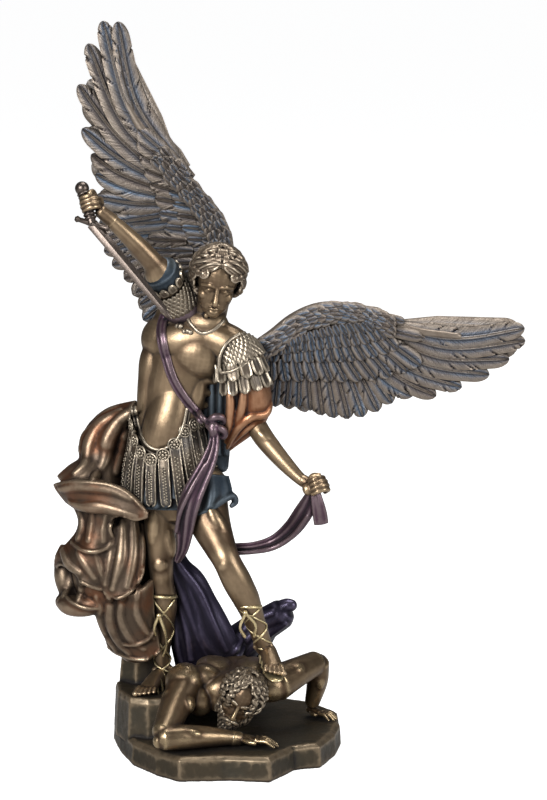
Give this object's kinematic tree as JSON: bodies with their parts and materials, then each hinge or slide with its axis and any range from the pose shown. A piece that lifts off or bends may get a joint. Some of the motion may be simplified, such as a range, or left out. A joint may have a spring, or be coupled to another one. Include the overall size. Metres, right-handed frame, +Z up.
{
  "type": "winged warrior figurine",
  "caption": "Cast shelf figurine: a winged warrior in a muscled cuirass with a raised sword and a swagged sash treads on a fallen bearded demon, on a rocky base.",
  "frame": {"origin": "on the base's flat underside, below the middle of the figures", "axes": "+Z up, +X to the viewer's right along the spread wing, +Y away from the viewer"},
  "size_m": [0.24, 0.118, 0.3719],
  "materials": {
    "bronze_figures": "satin bronze patina over cast resin, rubbed golden on the highs and near black in the folds, with cold-painted purple, copper and slate cloth",
    "blued_bronze_wings": "satin dark bronze with blue-grey faces and rubbed brown edges",
    "rubbed_bronze_sword": "satin bronze, rubbed bright along the blade's edges"
  },
  "bodies": {
    "root": {"angel_demon_and_base": "bronze_figures", "raised_wing": "blued_bronze_wings", "spread_wing": "blued_bronze_wings", "sword": "rubbed_bronze_sword"}
  },
  "joints": []
}
